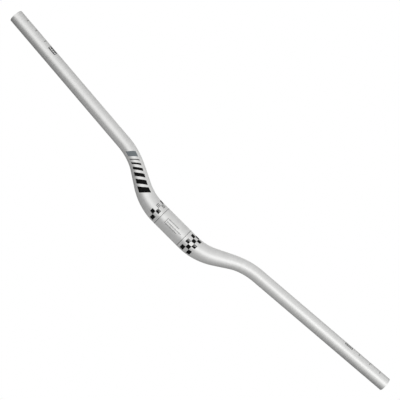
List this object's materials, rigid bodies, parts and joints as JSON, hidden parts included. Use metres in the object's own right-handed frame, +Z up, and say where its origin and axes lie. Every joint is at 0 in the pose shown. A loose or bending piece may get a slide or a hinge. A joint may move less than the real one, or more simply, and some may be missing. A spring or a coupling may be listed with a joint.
{
  "type": "riser handlebar",
  "caption": "Bicycle riser handlebar: a bent, tapering aluminium tube with a thick clamp in the middle, raised arms swept back for the grips, and open ends.",
  "frame": {"origin": "middle of the clamp, on the tube's centreline", "axes": "+X along the clamp towards the rider's left hand, +Y back towards the rider, +Z up in the direction of the rise"},
  "size_m": [0.8032, 0.0752, 0.0854],
  "materials": {
    "alloy": "satin"
  },
  "bodies": {
    "root": {"handlebar": "alloy"}
  },
  "joints": []
}
